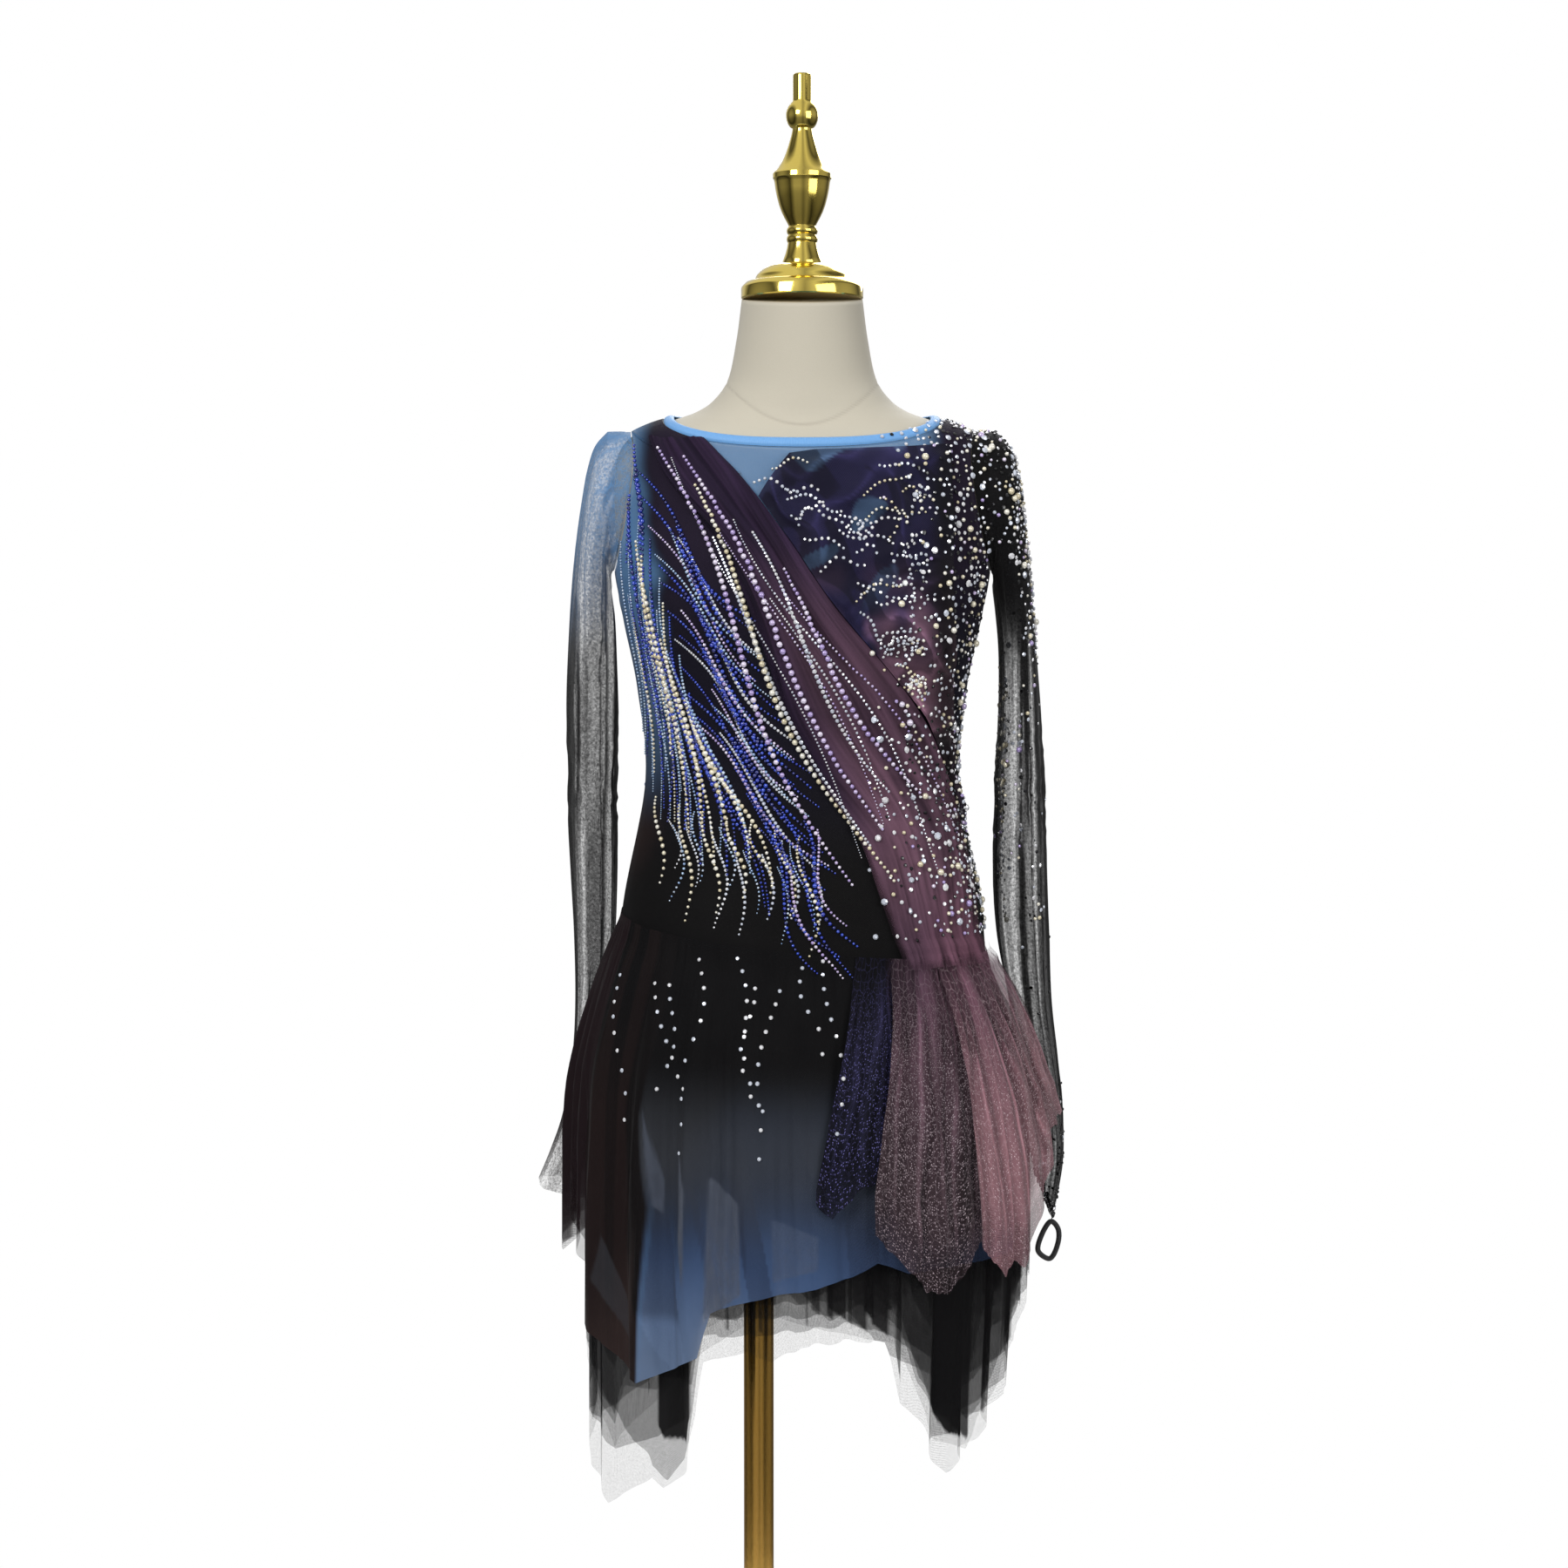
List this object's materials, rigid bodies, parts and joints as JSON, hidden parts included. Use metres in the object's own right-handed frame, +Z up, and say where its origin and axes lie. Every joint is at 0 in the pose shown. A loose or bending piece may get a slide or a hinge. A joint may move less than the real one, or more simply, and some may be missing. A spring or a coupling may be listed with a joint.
{
  "type": "figure skating dress on a dress form",
  "caption": "Long-sleeved figure skating dress with a beaded bodice, plum sash and handkerchief-hem tulle skirt, on a limbless dress form with a brass stand.",
  "frame": {"origin": "middle of the stand's foot, on the floor under the pole", "axes": "+Z up along the pole, -Y towards the dress's front, +X towards the wearer's left"},
  "size_m": [0.4648, 0.3182, 1.5445],
  "materials": {
    "form_cover": "matte",
    "polished_brass": "polished",
    "aged_brass": "satin",
    "dyed_stretch_mesh": "matte",
    "blue_binding": "satin",
    "black_knit": "satin",
    "black_mesh": "matte",
    "maroon_mesh": "matte",
    "plum_chiffon": "matte",
    "navy_tulle": "matte",
    "plum_tulle": "matte",
    "rose_tulle": "matte"
  },
  "bodies": {
    "root": {"form_torso": "form_cover", "neck_cap": "polished_brass", "finial": "polished_brass", "pole_socket": "aged_brass", "stand_pole": "aged_brass", "stand_foot": "aged_brass", "bodice_front": "dyed_stretch_mesh", "bodice_back": "dyed_stretch_mesh", "neck_binding": "blue_binding", "brief": "black_knit", "sash": "plum_chiffon", "yoke": "navy_tulle", "sleeve_right": "dyed_stretch_mesh", "sleeve_left": "black_mesh", "finger_loop": "black_knit", "skirt_front": "dyed_stretch_mesh", "skirt_side": "maroon_mesh", "skirt_middle": "black_mesh", "skirt_under_front": "black_mesh", "skirt_back": "dyed_stretch_mesh", "skirt_under_back": "black_mesh", "tulle_navy": "navy_tulle", "tulle_plum": "plum_tulle", "tulle_rose": "rose_tulle"}
  },
  "joints": []
}
